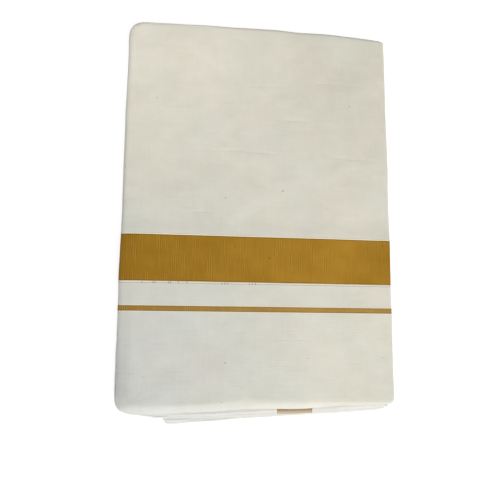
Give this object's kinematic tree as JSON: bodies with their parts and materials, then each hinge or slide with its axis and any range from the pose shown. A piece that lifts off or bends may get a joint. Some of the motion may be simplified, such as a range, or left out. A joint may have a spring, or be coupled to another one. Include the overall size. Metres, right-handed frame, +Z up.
{
  "type": "folded dhoti cloth",
  "caption": "Cotton dhoti with a woven gold zari border, folded flat into a rectangular pack that lies on its underside.",
  "frame": {"origin": "on the surface the pack lies on, under the middle of its bounding box", "axes": "+Y from the near fold, where the lower folds show, to the far fold; +X to the right across the border band; +Z up through the layers"},
  "size_m": [0.319, 0.473, 0.02],
  "materials": {
    "ivory_cotton": "plain woven cotton, matt, unbleached",
    "gold_zari": "ribbed gold thread weave, soft metallic sheen"
  },
  "bodies": {
    "root": {"near_field": "ivory_cotton", "zari_stripe": "gold_zari", "middle_field": "ivory_cotton", "zari_band": "gold_zari", "far_field": "ivory_cotton", "second_fold_left": "ivory_cotton", "second_fold_zari": "gold_zari", "second_fold_right": "ivory_cotton", "third_fold": "ivory_cotton", "hidden_layers": "ivory_cotton"}
  },
  "joints": []
}
